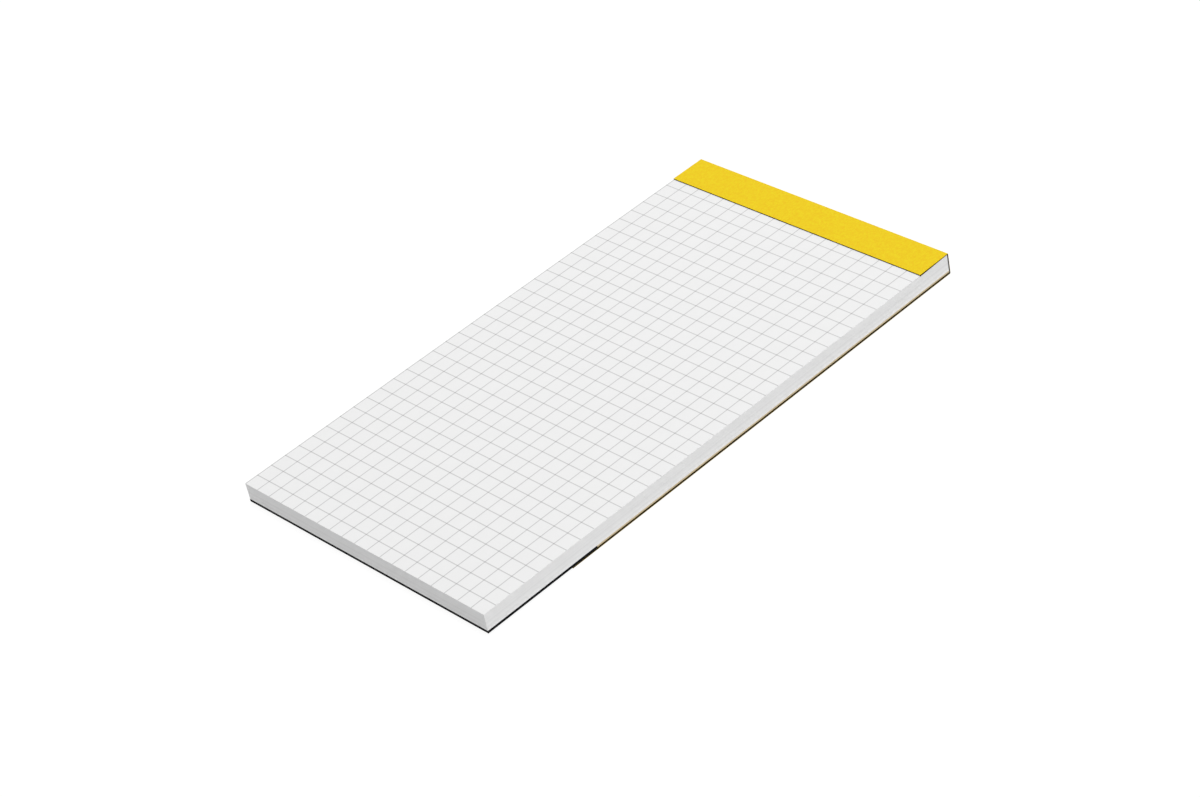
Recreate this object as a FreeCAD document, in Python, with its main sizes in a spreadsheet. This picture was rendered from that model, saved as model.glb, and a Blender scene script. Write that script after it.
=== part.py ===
import FreeCAD, Part
import os
import Sketcher

# A tall, narrow writing pad of squared paper. Its sheets and their chipboard backing are
# gummed together at the head, and its card cover is folded right back round the head, so
# that a strip of it stays on the top sheet and the rest lies under the backing.
# The origin is on the surface that the pad lies on, below the middle of the pad's outline.
# +X runs across the sheets, +Y from the foot to the head, and +Z up out of the top sheet.

doc = FreeCAD.newDocument("WritingPad")

# Driving dimensions in millimetres, apart from the count of sheets
sizes = {
    "sheetWidth": 95.0,
    "sheetLength": 179.2,
    "sheetThickness": 0.108,
    "sheetCount": 50,
    "gapWidth": 0.03,  # how far the trimmed edges of two sheets part at the outside
    "gapDepth": 0.05,
    "boardThickness": 0.8,
    "glueThickness": 0.15,
    "cardThickness": 0.35,
    "stripDepth": 12.1,  # from the head to where the cover ends on the top sheet
    "bareFoot": 30.0,  # from the foot to where the cover ends under the backing
}

spreadsheet = doc.addObject("Spreadsheet::Sheet", "Sizes")
for row, (name, value) in enumerate(sizes.items(), start=1):
    spreadsheet.set(f"A{row}", name)
    spreadsheet.set(f"B{row}", str(value))
    spreadsheet.setAlias(f"B{row}", name)
doc.recompute()

# What several pieces share, worked out from the sheet
blockThickness = "(Sizes.sheetCount * Sizes.sheetThickness)"
gummedThickness = f"({blockThickness} + Sizes.boardThickness)"
padHeight = f"({gummedThickness} + 2 * Sizes.cardThickness)"
padLength = "(Sizes.sheetLength + Sizes.glueThickness + Sizes.cardThickness)"
footY = f"(-{padLength} / 2)"
headY = f"({padLength} / 2)"

# A sketch's own axes and origin, and the names of an edge's ends, as constraints give them
horizontalAxis, verticalAxis = -1, -2
start, end = 1, 2
sketchOrigin = (horizontalAxis, start)


# Helpers for bodies and sketches
def amount(expression):
    """What an expression on the sheet comes to, for drawing a sketch near its final size."""
    return float(spreadsheet.evalExpression(expression))


def new_body(label, y, z):
    """An empty body whose local origin lies on the pad's long middle line, at y and z."""
    body = doc.addObject("PartDesign::Body", label)
    body.Label = label
    body.setExpression("Placement.Base.y", y)
    body.setExpression("Placement.Base.z", z)
    return body


def origin_feature(body, role):
    return next(f for f in body.Origin.OriginFeatures if f.Role == role)


def new_sketch(body, name, plane):
    sketch = body.newObject("Sketcher::SketchObject", name)
    sketch.AttachmentSupport = [(origin_feature(body, plane), "")]
    sketch.MapMode = "FlatFace"
    return sketch


def constrain(sketch, kind, *places):
    return sketch.addConstraint(Sketcher.Constraint(kind, *places))


def dimension(sketch, kind, name, expression, places):
    """A named distance, which starts at the drawn length and then follows the sheet."""
    first, last = (sketch.getPoint(*places[:2]), sketch.getPoint(*places[2:]))
    drawn = last.x - first.x if kind == "DistanceX" else last.y - first.y
    index = constrain(sketch, kind, *places, drawn)
    sketch.renameConstraint(index, name)
    sketch.setExpression(f"Constraints.{name}", expression)


def draw_outline(sketch, corners):
    """Joins the corners with lines in a ring, and returns the lines' numbers in order."""
    points = [FreeCAD.Vector(u, v, 0) for u, v in corners]
    segments = [Part.LineSegment(a, b) for a, b in zip(points, points[1:] + points[:1])]
    lines = list(sketch.addGeometry(segments, False))
    for line, following in zip(lines, lines[1:] + lines[:1]):
        constrain(sketch, "Coincident", line, end, following, start)
    return lines


def square_up(sketch, horizontal, vertical):
    for line in horizontal:
        constrain(sketch, "Horizontal", line)
    for line in vertical:
        constrain(sketch, "Vertical", line)


def new_pad(body, name, profile, length):
    pad = body.newObject("PartDesign::Pad", name)
    pad.Profile = profile
    pad.setExpression("Length", length)
    return pad


def new_through_cut(body, name, profile):
    """Cuts the profile through the whole body, to both sides of its plane."""
    pocket = body.newObject("PartDesign::Pocket", name)
    pocket.Profile = profile
    pocket.Type = "ThroughAll"
    pocket.Midplane = True
    return pocket


def sheet_outline(body, name):
    """A sheet seen from above, with the middle of its foot on the body's local origin."""
    side, length = amount("Sizes.sheetWidth / 2"), amount("Sizes.sheetLength")
    sketch = new_sketch(body, name, "XY_Plane")
    corners = [(-side, 0), (side, 0), (side, length), (-side, length)]
    foot, right, head, left = draw_outline(sketch, corners)
    square_up(sketch, (foot, head), (right, left))
    constrain(sketch, "Symmetric", foot, start, foot, end, *sketchOrigin)
    dimension(sketch, "DistanceX", "width", "Sizes.sheetWidth", (foot, start, foot, end))
    dimension(sketch, "DistanceY", "length", "Sizes.sheetLength", (right, start, right, end))
    return sketch


# Page block: the sheets as one solid, parted by fine gaps along the three trimmed edges.
# The gum fills the gaps at the head, so the head is flat.
def draw_gap(sketch, mouthU, inwards):
    """A V on its side between the first two sheets. Its lines are the mouth and the slopes."""
    level, half = amount("Sizes.sheetThickness"), amount("Sizes.gapWidth / 2")
    rootU = mouthU + inwards * amount("Sizes.gapDepth")
    corners = [(mouthU, level - half), (mouthU, level + half), (rootU, level)]
    return draw_outline(sketch, corners)


def size_gap(sketch, mouth, upperSlope, lowerSlope, depthPlaces):
    constrain(sketch, "Vertical", mouth)
    constrain(sketch, "Equal", upperSlope, lowerSlope)
    level = (*sketchOrigin, lowerSlope, start)
    dimension(sketch, "DistanceY", "level", "Sizes.sheetThickness", level)
    dimension(sketch, "DistanceY", "width", "Sizes.gapWidth", (mouth, start, mouth, end))
    dimension(sketch, "DistanceX", "depth", "Sizes.gapDepth", depthPlaces)


def side_gaps(body):
    side = amount("Sizes.sheetWidth / 2")
    sketch = new_sketch(body, "SideGapProfile", "XZ_Plane")
    mouth, upperSlope, lowerSlope = draw_gap(sketch, side, -1)
    size_gap(sketch, mouth, upperSlope, lowerSlope, (lowerSlope, start, mouth, start))
    place = (*sketchOrigin, mouth, start)
    dimension(sketch, "DistanceX", "side", "Sizes.sheetWidth / 2", place)
    leftMouth, _, leftSlope = draw_gap(sketch, -side, 1)
    constrain(sketch, "Symmetric", mouth, start, leftMouth, start, verticalAxis)
    constrain(sketch, "Symmetric", mouth, end, leftMouth, end, verticalAxis)
    constrain(sketch, "Symmetric", lowerSlope, start, leftSlope, start, verticalAxis)
    return new_through_cut(body, "SideGaps", sketch)


def foot_gap(body):
    sketch = new_sketch(body, "FootGapProfile", "YZ_Plane")
    mouth, upperSlope, lowerSlope = draw_gap(sketch, 0, 1)
    size_gap(sketch, mouth, upperSlope, lowerSlope, (mouth, start, lowerSlope, start))
    constrain(sketch, "PointOnObject", mouth, start, verticalAxis)
    return new_through_cut(body, "FootGap", sketch)


def make_page_block():
    body = new_body("page_block", footY, "Sizes.cardThickness + Sizes.boardThickness")
    new_pad(body, "Sheets", sheet_outline(body, "SheetOutline"), blockThickness)
    gaps = [side_gaps(body), foot_gap(body)]
    everyGap = body.newObject("PartDesign::LinearPattern", "EveryGap")
    everyGap.Originals = gaps
    everyGap.Direction = (origin_feature(body, "Z_Axis"), [""])
    everyGap.Mode = "Spacing"
    everyGap.setExpression("Offset", "Sizes.sheetThickness")
    everyGap.setExpression("Occurrences", "Sizes.sheetCount - 1")
    body.Tip = everyGap
    return body


# Backing board: plain chipboard, trimmed flush with the sheets
def make_backing_board():
    body = new_body("backing_board", footY, "Sizes.cardThickness")
    new_pad(body, "Board", sheet_outline(body, "BoardOutline"), "Sizes.boardThickness")
    return body


# Padding glue: the dried film that holds the sheets and the board together at the head
def make_padding_glue():
    body = new_body("padding_glue", f"{headY} - Sizes.cardThickness", "Sizes.cardThickness")
    side, height = amount("Sizes.sheetWidth / 2"), amount(gummedThickness)
    sketch = new_sketch(body, "HeadFace", "XZ_Plane")
    corners = [(-side, 0), (side, 0), (side, height), (-side, height)]
    bottom, right, top, left = draw_outline(sketch, corners)
    square_up(sketch, (bottom, top), (right, left))
    constrain(sketch, "Symmetric", bottom, start, bottom, end, *sketchOrigin)
    dimension(sketch, "DistanceX", "width", "Sizes.sheetWidth", (bottom, start, bottom, end))
    dimension(sketch, "DistanceY", "height", gummedThickness, (right, start, right, end))
    new_pad(body, "Film", sketch, "Sizes.glueThickness")
    return body


# Cover: one sheet of card, seen from the side as a flat hook round the head
def cover_profile(body):
    backLength = f"({padLength} - Sizes.bareFoot)"
    card, strip = amount("Sizes.cardThickness"), amount("Sizes.stripDepth")
    back, top = amount(backLength), amount(padHeight)
    corners = [(-back, 0), (0, 0), (0, top), (-strip, top)]
    corners += [(-strip, top - card), (-card, top - card), (-card, card), (-back, card)]
    sketch = new_sketch(body, "CoverProfile", "YZ_Plane")
    under, head, over, stripEnd, inStrip, inHead, inBack, backEnd = draw_outline(
        sketch, corners
    )
    square_up(sketch, (under, over, inStrip, inBack), (head, stripEnd, inHead, backEnd))
    constrain(sketch, "Coincident", head, start, *sketchOrigin)
    constrain(sketch, "Equal", stripEnd, backEnd)
    dimension(sketch, "DistanceX", "back", backLength, (under, start, under, end))
    dimension(sketch, "DistanceY", "height", padHeight, (head, start, head, end))
    dimension(sketch, "DistanceX", "strip", "Sizes.stripDepth", (over, end, over, start))
    endCard = (stripEnd, end, stripEnd, start)
    dimension(sketch, "DistanceY", "endCard", "Sizes.cardThickness", endCard)
    headCard = (inHead, end, *sketchOrigin)
    dimension(sketch, "DistanceX", "headCard", "Sizes.cardThickness", headCard)
    return sketch


def edges_at_head(shape, atY):
    """The names of the edges that run across the pad at this distance along it."""
    names = []
    for number, edge in enumerate(shape.Edges, start=1):
        box = edge.BoundBox
        across = box.XLength > box.YLength + box.ZLength
        if across and abs(box.YMin - atY) < Part.Precision.confusion():
            names.append(f"Edge{number}")
    return names


def make_cover():
    body = new_body("cover", headY, "0")
    card = new_pad(body, "Card", cover_profile(body), "Sizes.sheetWidth")
    card.Midplane = True
    doc.recompute()
    folds = body.newObject("PartDesign::Fillet", "Folds")
    folds.Base = (card, edges_at_head(card.Shape, 0))
    # The card is drawn tight over the square head, so it bends about its own inner corner
    folds.setExpression("Radius", "Sizes.cardThickness")
    return body


pieces = [make_page_block(), make_backing_board(), make_padding_glue(), make_cover()]
doc.recompute()

# Nothing is written unless every feature came out well
for thing in doc.Objects:
    if "Invalid" in thing.State or "Error" in thing.State:
        raise RuntimeError(f"{thing.Name} failed: {thing.State}")

for piece in pieces:
    if piece.Shape.isNull() or not piece.Shape.isValid():
        raise RuntimeError(f"{piece.Label} has no valid shape")

os.makedirs("parts", exist_ok=True)
for piece in pieces:
    piece.Shape.exportStep(f"parts/{piece.Label}.step")
    box = piece.Shape.BoundBox
    print(
        f"{piece.Label}: {len(piece.Shape.Solids)} solid, {piece.Shape.Volume:.2f} mm3,",
        f"x {box.XMin:.3f} to {box.XMax:.3f}, y {box.YMin:.3f} to {box.YMax:.3f},",
        f"z {box.ZMin:.3f} to {box.ZMax:.3f}",
    )
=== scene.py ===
import math
import random

import bmesh
import bpy
from mathutils import Matrix, Quaternion, Vector, noise


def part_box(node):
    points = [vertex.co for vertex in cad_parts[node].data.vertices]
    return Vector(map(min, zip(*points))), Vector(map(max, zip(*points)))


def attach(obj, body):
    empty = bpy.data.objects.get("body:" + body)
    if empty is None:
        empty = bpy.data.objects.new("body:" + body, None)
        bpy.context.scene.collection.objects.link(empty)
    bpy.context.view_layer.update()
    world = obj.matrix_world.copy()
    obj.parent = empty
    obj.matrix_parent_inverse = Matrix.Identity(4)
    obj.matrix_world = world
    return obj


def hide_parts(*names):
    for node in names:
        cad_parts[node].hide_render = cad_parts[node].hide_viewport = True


# A squared writing pad, gummed at the head, with its yellow card cover turned right back.
# Everything is in metres in the pad's own frame. Lengths in the dictionaries are in millimetres
# and colours are screen colours from 0 to 255, apart from the studio's.
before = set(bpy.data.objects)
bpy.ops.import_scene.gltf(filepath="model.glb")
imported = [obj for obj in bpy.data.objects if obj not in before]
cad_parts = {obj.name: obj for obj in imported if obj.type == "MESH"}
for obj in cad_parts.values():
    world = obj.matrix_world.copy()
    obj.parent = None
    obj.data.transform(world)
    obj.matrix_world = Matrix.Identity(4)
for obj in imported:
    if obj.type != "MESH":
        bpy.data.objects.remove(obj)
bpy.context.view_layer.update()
mm = 0.001

sheetsLow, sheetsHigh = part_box("page_block")
boardLow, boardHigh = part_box("backing_board")
coverLow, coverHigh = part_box("cover")
print("frame loaded", sorted(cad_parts))


# camera

photoCamera = {
    "place": (530.7, -413.0, 486.5),
    "aim": (9.62, -10.6, 6.55),
    "rollDegrees": -12.32,
    "lens": 91.08,
    "sensorWidth": 36.0,
}


def addCamera():
    data = bpy.data.cameras.new("photoCamera")
    data.lens = photoCamera["lens"]
    data.sensor_width = photoCamera["sensorWidth"]
    camera = bpy.data.objects.new("photoCamera", data)
    bpy.context.scene.collection.objects.link(camera)
    place, aim = Vector(photoCamera["place"]) * mm, Vector(photoCamera["aim"]) * mm
    looking = (aim - place).to_track_quat("-Z", "Y")
    roll = Quaternion((0, 0, 1), math.radians(photoCamera["rollDegrees"]))
    camera.location = place
    camera.rotation_mode = "QUATERNION"
    camera.rotation_quaternion = looking @ roll
    bpy.context.scene.camera = camera


addCamera()
print("camera placed")


# helpers for materials

def srgb(red, green, blue):
    # a screen colour on the linear scale that the shaders use
    def linear(value):
        value = value / 255
        return value / 12.92 if value <= 0.04045 else ((value + 0.055) / 1.055) ** 2.4
    return (linear(red), linear(green), linear(blue), 1.0)


def grey(value):
    return (value, value, value, 1.0)


def addNode(tree, kind, inputs=None, **settings):
    node = tree.nodes.new(kind)
    for name, value in settings.items():
        setattr(node, name, value)
    for key, value in (inputs or {}).items():
        if isinstance(value, bpy.types.NodeSocket):
            tree.links.new(value, node.inputs[key])
        else:
            node.inputs[key].default_value = value
    return node


def maths(tree, operation, *values):
    return addNode(tree, "ShaderNodeMath", dict(enumerate(values)), operation=operation).outputs[0]


def mixColour(tree, factor, first, second, blend="MIX"):
    # inputs 6 and 7 and output 2 are the colours' own sockets on this node
    node = addNode(tree, "ShaderNodeMix", data_type="RGBA", blend_type=blend)
    for socket, value in ((node.inputs[0], factor), (node.inputs[6], first), (node.inputs[7], second)):
        if isinstance(value, bpy.types.NodeSocket):
            tree.links.new(value, socket)
        else:
            socket.default_value = value
    return node.outputs[2]


def multiplyColours(tree, first, second):
    return mixColour(tree, 1.0, first, second, "MULTIPLY")


def remap(tree, value, fromRange, toRange, smooth=False):
    inputs = {
        "Value": value, "From Min": fromRange[0], "From Max": fromRange[1],
        "To Min": toRange[0], "To Max": toRange[1],
    }
    interpolation = "SMOOTHSTEP" if smooth else "LINEAR"
    return addNode(tree, "ShaderNodeMapRange", inputs, interpolation_type=interpolation).outputs[0]


def newMaterial(name, roughness, specular):
    material = bpy.data.materials.new(name)
    material.use_nodes = True
    tree = material.node_tree
    surface = tree.nodes["Principled BSDF"]
    surface.inputs["Roughness"].default_value = roughness
    surface.inputs["Specular IOR Level"].default_value = specular
    place = addNode(tree, "ShaderNodeTexCoord").outputs["Object"]
    return material, tree, surface, place


def stretchedNoise(tree, place, grain, detail, roughness=0.5):
    # grain is the size of one blotch along x, y and z, in millimetres
    scale = tuple(1 / (size * mm) for size in grain)
    mapped = addNode(tree, "ShaderNodeMapping", {"Vector": place, "Scale": scale}).outputs[0]
    inputs = {"Vector": mapped, "Scale": 1.0, "Detail": detail, "Roughness": roughness}
    return addNode(tree, "ShaderNodeTexNoise", inputs).outputs[0]


def blendNoises(tree, first, second, firstShare):
    parts = (
        maths(tree, "MULTIPLY", first, firstShare),
        maths(tree, "MULTIPLY", second, 1 - firstShare),
    )
    return maths(tree, "ADD", *parts)


def noiseRange(reach):
    # a noise lies about its middle, mostly within the reach
    middle = 0.5
    return middle - reach, middle + reach


def twoTones(tree, value, darker, lighter, reach):
    return mixColour(tree, remap(tree, value, noiseRange(reach), (0.0, 1.0)), darker, lighter)


def addBump(tree, surface, height, depth, strength):
    inputs = {"Height": height, "Distance": depth * mm, "Strength": strength}
    bump = addNode(tree, "ShaderNodeBump", inputs).outputs[0]
    tree.links.new(bump, surface.inputs["Normal"])


# helpers for meshes

touching = 1e-7  # metres, within which two places are the same
facing = 0.9  # how much of an axis a face's normal has when the face looks along it


def addPiece(name, bm, materials, nodeName):
    mesh = bpy.data.meshes.new(name)
    bm.to_mesh(mesh)
    bm.free()
    for material in materials:
        mesh.materials.append(material)
    piece = bpy.data.objects.new(name, mesh)
    bpy.context.scene.collection.objects.link(piece)
    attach(piece, "root")
    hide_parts(nodeName)
    return piece


def bevelEdges(bm, edges, width, segments):
    result = bmesh.ops.bevel(
        bm, geom=edges, offset=width, segments=segments, profile=0.5,
        affect="EDGES", material=-1, clamp_overlap=True,
    )
    return result["faces"]


def addBlock(bm, low, high):
    place = Matrix.LocRotScale((low + high) / 2, None, high - low)
    bmesh.ops.create_cube(bm, size=1.0, matrix=place)


# sheets

sheets = {
    "count": 50,
    "gap": 0.002,  # between one sheet and the next
    "easedEdge": 0.012,
    "bundleSetback": 0.03,  # how far a bundle's trimmed edge can stand back
    "sheetSetback": 0.015,  # and one sheet's within it
    "trimmedBack": 0.04,  # how far all their trimmed edges stand back from the card's
    "bundleRun": 0.17,  # how far the bundles' noise runs on with each sheet
    "sideRun": 9.7,  # and from one trimmed side to the next
    "noiseLevel": 0.3,  # the level at which that noise is cut
    "seed": 7,
    "paper": (238, 238, 238),
    "darkerBy": 2,
    "lighterBy": 1,
    "clouds": (6, 6, 6),
    "fibres": (0.35, 0.5, 0.35),
    "leaves": (60, 60, 0.11),  # about a sheet thick
    "leafContrast": 0.02,
    # how pale the stack's trimmed sides are, from the top sheet down
    "trimTones": (
        (0.0, 1.0), (1.6, 1.0), (1.95, 0.985), (2.35, 1.005), (2.75, 0.955),
        (3.15, 0.99), (3.7, 1.03), (4.25, 0.985), (4.85, 1.045), (5.35, 1.09),
    ),
}

ruling = {
    "pitch": 5.0,
    "lineWidth": 0.31,
    "softness": 0.05,
    "firstFromLeft": 0.25,
    "firstFromFoot": 4.32,
    "inkTint": 0.68,
    "inkPatchiness": 0.12,
    "inkGrain": (0.2, 0.2, 0.2),
}


def rulingLines(tree, along, first):
    # 1 on a printed line and 0 between two, where along is a coordinate in metres
    pitch, half = ruling["pitch"] * mm, ruling["lineWidth"] / 2 * mm
    soft = ruling["softness"] * mm
    turns = maths(tree, "DIVIDE", maths(tree, "SUBTRACT", along, first), pitch)
    offset = maths(tree, "SUBTRACT", maths(tree, "FRACT", maths(tree, "ADD", turns, 0.5)), 0.5)
    distance = maths(tree, "MULTIPLY", maths(tree, "ABSOLUTE", offset), pitch)
    return remap(tree, distance, (half - soft, half + soft), (1.0, 0.0), smooth=True)


def paperTone(tree, place):
    cloudy = stretchedNoise(tree, place, sheets["clouds"], detail=3)
    fibres = stretchedNoise(tree, place, sheets["fibres"], detail=4, roughness=0.6)
    tone = blendNoises(tree, cloudy, fibres, firstShare=0.5)
    darker = srgb(*(value - sheets["darkerBy"] for value in sheets["paper"]))
    lighter = srgb(*(value + sheets["lighterBy"] for value in sheets["paper"]))
    return twoTones(tree, tone, darker, lighter, reach=0.2), fibres


def makeRuledPaper():
    material, tree, surface, place = newMaterial("ruledPaper", roughness=0.92, specular=0.25)
    x, y, _ = addNode(tree, "ShaderNodeSeparateXYZ", {"Vector": place}).outputs
    longLines = rulingLines(tree, x, sheetsLow.x + ruling["firstFromLeft"] * mm)
    crossLines = rulingLines(tree, y, sheetsLow.y + ruling["firstFromFoot"] * mm)
    colour, fibres = paperTone(tree, place)
    patches = stretchedNoise(tree, place, ruling["inkGrain"], detail=3, roughness=0.7)
    patchy = (1 - ruling["inkPatchiness"], 1 + ruling["inkPatchiness"])
    coverage = remap(tree, patches, noiseRange(reach=0.2), patchy)
    for lines in (longLines, crossLines):
        amount = maths(tree, "MULTIPLY", lines, coverage)
        inked = multiplyColours(tree, colour, grey(ruling["inkTint"]))
        colour = mixColour(tree, amount, colour, inked)
    tree.links.new(colour, surface.inputs["Base Color"])
    addBump(tree, surface, fibres, depth=0.01, strength=0.25)
    return material


def trimToneByHeight(tree, place):
    # the tones down the trimmed sides, as shares of the brightest one
    _, _, z = addNode(tree, "ShaderNodeSeparateXYZ", {"Vector": place}).outputs
    depth = (sheetsHigh.z - sheetsLow.z) / mm
    brightest = max(tone for _, tone in sheets["trimTones"])
    fromTop = remap(tree, z, (sheetsHigh.z, sheetsLow.z), (0.0, 1.0))
    node = addNode(tree, "ShaderNodeValToRGB", {0: fromTop})
    ramp = node.color_ramp
    ramp.interpolation = "EASE"
    while len(ramp.elements) < len(sheets["trimTones"]):
        ramp.elements.new(1.0)
    for stop, (below, tone) in zip(ramp.elements, sheets["trimTones"]):
        stop.position = below / depth
        stop.color = grey(tone / brightest)
    return node.outputs[0], brightest


def makeTrimmedPaper():
    material, tree, surface, place = newMaterial("trimmedPaper", roughness=0.95, specular=0.2)
    paper, fibres = paperTone(tree, place)
    tones, brightest = trimToneByHeight(tree, place)
    leaves = stretchedNoise(tree, place, sheets["leaves"], detail=1)
    contrast = sheets["leafContrast"]
    shades = ((1 - contrast) * brightest, (1 + contrast) * brightest)
    shade = remap(tree, leaves, noiseRange(reach=0.2), shades)
    shadeGrey = addNode(tree, "ShaderNodeCombineColor", {0: shade, 1: shade, 2: shade}).outputs[0]
    streaks = multiplyColours(tree, tones, shadeGrey)
    tree.links.new(multiplyColours(tree, paper, streaks), surface.inputs["Base Color"])
    addBump(tree, surface, fibres, depth=0.01, strength=0.3)
    return material


def sheetSetbacks(index, rng):
    # how far a sheet's left, right and foot edges stand back with their bundle and alone
    setbacks = []
    for side in range(3):
        spot = (index * sheets["bundleRun"], side * sheets["sideRun"], sheets["noiseLevel"])
        bundle = 0.5 + 0.5 * noise.noise(spot)  # from 0 to 1
        setback = sheets["bundleSetback"] * bundle + sheets["sheetSetback"] * rng.random()
        setbacks.append(setback * mm)
    return setbacks


def makeSheets():
    rng = random.Random(sheets["seed"])
    pitch = (sheetsHigh.z - sheetsLow.z) / sheets["count"]
    thickness = pitch - sheets["gap"] * mm
    trimmed = sheets["trimmedBack"] * mm
    easedEdge = sheets["easedEdge"] * mm
    topIndex = sheets["count"] - 1
    bm = bmesh.new()
    for index in range(sheets["count"]):
        left, right, foot = sheetSetbacks(index, rng)
        base = sheetsLow.z + index * pitch
        top = base + thickness
        if index == topIndex:  # no sheet stands out past the top one
            left, right, foot, top = 0.0, 0.0, 0.0, sheetsHigh.z
        low = Vector((sheetsLow.x + trimmed + left, sheetsLow.y + trimmed + foot, base))
        high = Vector((sheetsHigh.x - trimmed - right, sheetsHigh.y, top))
        addBlock(bm, low, high)
    bm.normal_update()
    level = [e for e in bm.edges if abs(e.verts[0].co.z - e.verts[1].co.z) < touching]
    bevelEdges(bm, level, easedEdge, segments=1)
    bm.normal_update()
    for face in bm.faces:
        onTop = face.calc_center_median().z > sheetsHigh.z - easedEdge / 2
        face.material_index = 0 if onTop and face.normal.z > facing else 1
    materials = [makeRuledPaper(), makeTrimmedPaper()]
    return addPiece("sheetStack", bm, materials, "page_block")


makeSheets()
print("sheets stacked")


# backing board

board = {
    "easedEdge": 0.03,
    "blackFoot": 39.0,  # how far the black runs up from the foot
    "blackWander": 0.06,  # how far its end wanders
    "darkBandHeight": 0.38,  # how far up from its underside the board's edges are coloured dark
    "plies": (4, 4, 0.12),
    "specks": (0.3, 0.3, 0.3),
    "tan": (218, 201, 166),
    "tanDark": (205, 186, 148),
    "black": (24, 24, 26),
    "dark": (40, 31, 13),
}


def makeChipboard():
    material, tree, surface, place = newMaterial("chipboard", roughness=0.95, specular=0.05)
    _, y, z = addNode(tree, "ShaderNodeSeparateXYZ", {"Vector": place}).outputs
    plies = stretchedNoise(tree, place, board["plies"], detail=3)
    specks = stretchedNoise(tree, place, board["specks"], detail=4, roughness=0.7)
    tone = blendNoises(tree, plies, specks, firstShare=0.5)
    tan = twoTones(tree, tone, srgb(*board["tanDark"]), srgb(*board["tan"]), reach=0.15)
    footLine = boardLow.y + board["blackFoot"] * mm
    darkTop = boardLow.z + board["darkBandHeight"] * mm
    wander = board["blackWander"] * mm
    wandering = remap(tree, specks, noiseRange(reach=0.2), (-wander, wander))
    onFoot = maths(tree, "LESS_THAN", maths(tree, "ADD", y, wandering), footLine)
    below = maths(tree, "LESS_THAN", z, darkTop)
    banded = mixColour(tree, below, tan, srgb(*board["dark"]))
    colour = mixColour(tree, onFoot, banded, srgb(*board["black"]))
    tree.links.new(colour, surface.inputs["Base Color"])
    addBump(tree, surface, tone, depth=0.02, strength=0.3)
    return material


def makeBoard():
    bm = bmesh.new()
    addBlock(bm, boardLow, boardHigh)
    bevelEdges(bm, bm.edges[:], board["easedEdge"] * mm, segments=2)
    return addPiece("backBoard", bm, [makeChipboard()], "backing_board")


makeBoard()
print("board made")


# cover

cover = {
    "strip": 12.1,  # how far the solid's strip comes over the top sheet
    "foldSegments": 8,
    "easedEdge": 0.04,
    # how deep the yellow of the outer face shows in the cut sides
    "stripLiner": 0.16,
    "headLiner": 0.05,
    "underLiner": 0.07,
    "sideDepth": 0.1,  # how far in from its sides the card counts as cut
    "burr": 0.3,  # how far the knife drew the strip's front corners down
    "mottle": (1.0, 1.3, 1.0),
    "grain": (0.4, 0.7, 0.4),
    "streaks": (0.5, 2.5, 0.08),
    "yellow": (237, 210, 22),
    "yellowOrange": (234, 195, 15),
    # the card's cut sides are coloured dark brown
    "cutTone": (50, 38, 12),
    "cutToneDark": (34, 26, 8),
}


def makeYellowCard():
    material, tree, surface, place = newMaterial("yellowCard", roughness=0.85, specular=0.3)
    mottle = stretchedNoise(tree, place, cover["mottle"], detail=3, roughness=0.6)
    grain = stretchedNoise(tree, place, cover["grain"], detail=3, roughness=0.6)
    tone = blendNoises(tree, mottle, grain, firstShare=0.4)
    colour = twoTones(tree, tone, srgb(*cover["yellowOrange"]), srgb(*cover["yellow"]), reach=0.1)
    tree.links.new(colour, surface.inputs["Base Color"])
    addBump(tree, surface, grain, depth=0.015, strength=0.35)
    return material


def makeCutCard():
    material, tree, surface, place = newMaterial("cutCard", roughness=0.95, specular=0.05)
    streaks = stretchedNoise(tree, place, cover["streaks"], detail=3)
    cutTone = twoTones(tree, streaks, srgb(*cover["cutToneDark"]), srgb(*cover["cutTone"]), reach=0.15)
    x, y, z = addNode(tree, "ShaderNodeSeparateXYZ", {"Vector": place}).outputs
    nearTop = maths(tree, "GREATER_THAN", z, coverHigh.z - cover["stripLiner"] * mm)
    nearHead = maths(tree, "GREATER_THAN", y, coverHigh.y - cover["headLiner"] * mm)
    nearUnder = maths(tree, "LESS_THAN", z, coverLow.z + cover["underLiner"] * mm)
    nearFace = maths(tree, "MAXIMUM", maths(tree, "MAXIMUM", nearTop, nearHead), nearUnder)
    sideLine = coverHigh.x - cover["sideDepth"] * mm
    onSide = maths(tree, "GREATER_THAN", maths(tree, "ABSOLUTE", x), sideLine)
    onLiner = maths(tree, "MULTIPLY", nearFace, onSide)
    colour = mixColour(tree, onLiner, cutTone, srgb(*cover["yellowOrange"]))
    tree.links.new(colour, surface.inputs["Base Color"])
    addBump(tree, surface, streaks, depth=0.01, strength=0.3)
    return material


def foldCard(bm, card, strip):
    # the folded card seen from the side is a flat hook round the head
    low, high = coverLow, coverHigh
    outline = [
        (low.y, low.z), (high.y, low.z), (high.y, high.z), (high.y - strip, high.z),
        (high.y - strip, high.z - card), (high.y - card, high.z - card),
        (high.y - card, low.z + card), (low.y, low.z + card),
    ]
    profile = bm.faces.new([bm.verts.new((low.x, y, z)) for y, z in outline])
    grown = bmesh.ops.extrude_face_region(bm, geom=[profile])["geom"]
    moved = [item for item in grown if isinstance(item, bmesh.types.BMVert)]
    bmesh.ops.translate(bm, verts=moved, vec=(high.x - low.x, 0, 0))
    bmesh.ops.recalc_face_normals(bm, faces=bm.faces[:])


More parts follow.
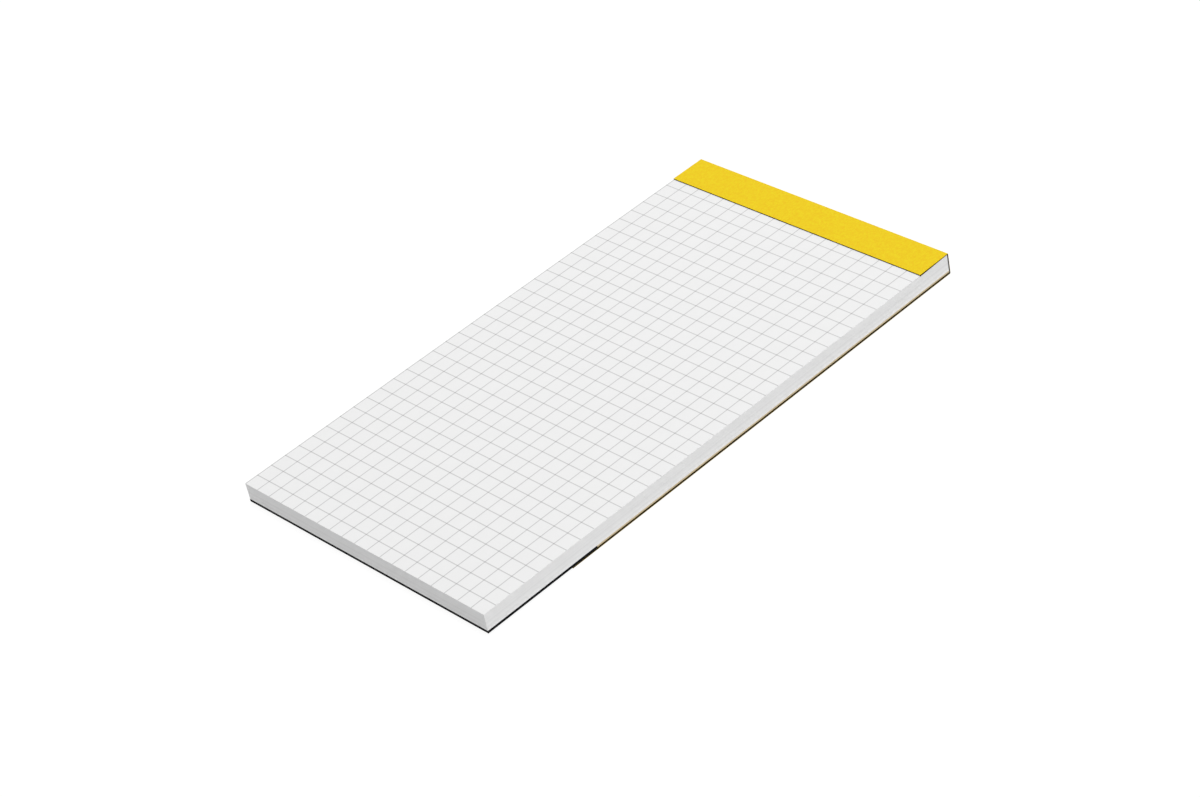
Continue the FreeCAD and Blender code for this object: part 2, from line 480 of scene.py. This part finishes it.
def drawBurr(bm, card, strip):
    # the burr hangs over the sheets' edges, which stand back for it
    trimmed = coverHigh.x - sheets["trimmedBack"] * mm
    for cut in (-trimmed, trimmed):
        everything = bm.verts[:] + bm.edges[:] + bm.faces[:]
        bmesh.ops.bisect_plane(bm, geom=everything, plane_co=(cut, 0, 0), plane_no=(1, 0, 0))
    cornerY, cornerZ = coverHigh.y - strip, coverHigh.z - card
    for v in bm.verts:
        underStrip = abs(v.co.z - cornerZ) < touching and abs(v.co.y - cornerY) < touching
        if underStrip and abs(v.co.x) > trimmed + touching:
            v.co.z -= cover["burr"] * mm


def crossesHead(edge):
    # whether an edge runs across the pad along the head's outer face
    first, last = (v.co for v in edge.verts)
    atHead = max(abs(first.y - coverHigh.y), abs(last.y - coverHigh.y)) < touching
    return atHead and abs(first.x - last.x) > touching


def onOutside(edge, card):
    # whether an edge lies on the cover's outer faces and not on those that touch the pad
    middle = (edge.verts[0].co + edge.verts[1].co) / 2
    inwards = min(middle.z - coverLow.z, coverHigh.z - middle.z, coverHigh.y - middle.y)
    return inwards < card / 2


def makeCover():
    card, strip = boardLow.z - coverLow.z, cover["strip"] * mm
    bm = bmesh.new()
    foldCard(bm, card, strip)
    drawBurr(bm, card, strip)
    folds = [e for e in bm.edges if crossesHead(e)]
    bevelEdges(bm, folds, card, cover["foldSegments"])
    bm.normal_update()
    # the head's inner face looks the same way as the two cut ends, but it is larger
    cutEndLimit = 2 * card * (coverHigh.x - coverLow.x)
    for face in bm.faces:
        cutEnd = face.normal.y < -facing and face.calc_area() < cutEndLimit
        face.material_index = 1 if abs(face.normal.x) > facing or cutEnd else 0
    rims = [
        e for e in bm.edges
        if {f.material_index for f in e.link_faces} == {0, 1} and onOutside(e, card)
    ]
    for face in bevelEdges(bm, rims, cover["easedEdge"] * mm, segments=2):
        face.material_index = 0
    materials = [makeYellowCard(), makeCutCard()]
    return addPiece("foldedCover", bm, materials, "cover")


makeCover()
print("cover folded")


# glue, greyed with painted shade

# the glue film's greys are painted shade: they darken the film's ends into the dark line between the
# sheets' head and the card
glue = {
    "grey": (104, 104, 105),
    "greyDark": (84, 84, 86),
    "runs": (0.6, 0.6, 1.4),
}


def makeGlueInPaintedShade():
    material, tree, surface, place = newMaterial("glueGreyedAsShade", roughness=0.45, specular=0.5)
    runs = stretchedNoise(tree, place, glue["runs"], detail=3)
    # the film's colour is painted shade, with tone that differs at random through its runs
    colour = twoTones(tree, runs, srgb(*glue["greyDark"]), srgb(*glue["grey"]), reach=0.15)
    tree.links.new(colour, surface.inputs["Base Color"])
    addBump(tree, surface, runs, depth=0.03, strength=0.5)
    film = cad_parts["padding_glue"].material_slots[0]
    film.link = "OBJECT"
    film.material = material


makeGlueInPaintedShade()
print("glue finished")


# floor and light

studio = {
    "floorHalf": 3.0,  # metres, as are the floor's drop and the key's place and size
    "floorDrop": 0.00005,  # a hair below the card, so that the two faces don't coincide
    "floorBounce": 0.82,
    "floorGlow": 0.9,  # what the camera sees of the floor without any light on it
    "floorSeen": 0.14,  # and how much of the light it sees on it, which holds the shadow
    "skyStrength": 0.43,
    "keyPlace": (0.05, 0.18, 1.2),
    "keySize": 0.8,
    "keyPower": 8.1,
    "sideStrength": 0.67,
    "sideAngles": (0, 60, 0),  # degrees, from overhead towards +X
    "sideSpread": 40,  # degrees
}


def seenRays(tree):
    # 1 for what the camera sees, also by reflection or through something, and 0 for other light
    path = addNode(tree, "ShaderNodeLightPath").outputs
    seen = maths(tree, "MAXIMUM", path["Is Camera Ray"], path["Is Glossy Ray"])
    return maths(tree, "MAXIMUM", seen, path["Is Transmission Ray"])


def addFloor():
    bm = bmesh.new()
    lowered = Matrix.Translation((0, 0, -studio["floorDrop"]))
    bmesh.ops.create_grid(bm, x_segments=1, y_segments=1, size=studio["floorHalf"], matrix=lowered)
    mesh = bpy.data.meshes.new("floor")
    bm.to_mesh(mesh)
    bm.free()
    material = bpy.data.materials.new("whiteFloor")
    material.use_nodes = True
    tree = material.node_tree
    tree.nodes.remove(tree.nodes["Principled BSDF"])
    bounce = addNode(tree, "ShaderNodeBsdfDiffuse", {"Color": grey(studio["floorBounce"])})
    shadowed = addNode(tree, "ShaderNodeBsdfDiffuse", {"Color": grey(studio["floorSeen"])})
    glow = addNode(tree, "ShaderNodeEmission", {"Strength": studio["floorGlow"]})
    seen = addNode(tree, "ShaderNodeAddShader", {0: shadowed.outputs[0], 1: glow.outputs[0]})
    inputs = {0: seenRays(tree), 1: bounce.outputs[0], 2: seen.outputs[0]}
    mixed = addNode(tree, "ShaderNodeMixShader", inputs)
    tree.links.new(mixed.outputs[0], tree.nodes["Material Output"].inputs["Surface"])
    mesh.materials.append(material)
    floor = bpy.data.objects.new("floor", mesh)
    bpy.context.scene.collection.objects.link(floor)


def addSky():
    world = bpy.data.worlds.new("studio")
    bpy.context.scene.world = world
    world.use_nodes = True
    tree = world.node_tree
    light = tree.nodes["Background"]
    light.inputs["Color"].default_value = grey(1)
    light.inputs["Strength"].default_value = studio["skyStrength"]
    white = addNode(tree, "ShaderNodeBackground", {"Color": grey(1), "Strength": 1.0})
    inputs = {0: seenRays(tree), 1: light.outputs[0], 2: white.outputs[0]}
    mixed = addNode(tree, "ShaderNodeMixShader", inputs)
    tree.links.new(mixed.outputs[0], tree.nodes["World Output"].inputs["Surface"])


def addLamps():
    key = bpy.data.lights.new("key", "AREA")
    key.size = studio["keySize"]
    key.energy = studio["keyPower"]
    keyLamp = bpy.data.objects.new("key", key)
    keyLamp.location = studio["keyPlace"]
    keyLamp.rotation_mode = "QUATERNION"
    keyLamp.rotation_quaternion = (-keyLamp.location).to_track_quat("-Z", "Y")
    bpy.context.scene.collection.objects.link(keyLamp)
    side = bpy.data.lights.new("side", "SUN")
    side.energy = studio["sideStrength"]
    side.angle = math.radians(studio["sideSpread"])
    sideLamp = bpy.data.objects.new("side", side)
    sideLamp.rotation_euler = [math.radians(angle) for angle in studio["sideAngles"]]
    bpy.context.scene.collection.objects.link(sideLamp)


addFloor()
addSky()
addLamps()
bpy.context.scene.view_settings.view_transform = "Standard"
print("stage lit")
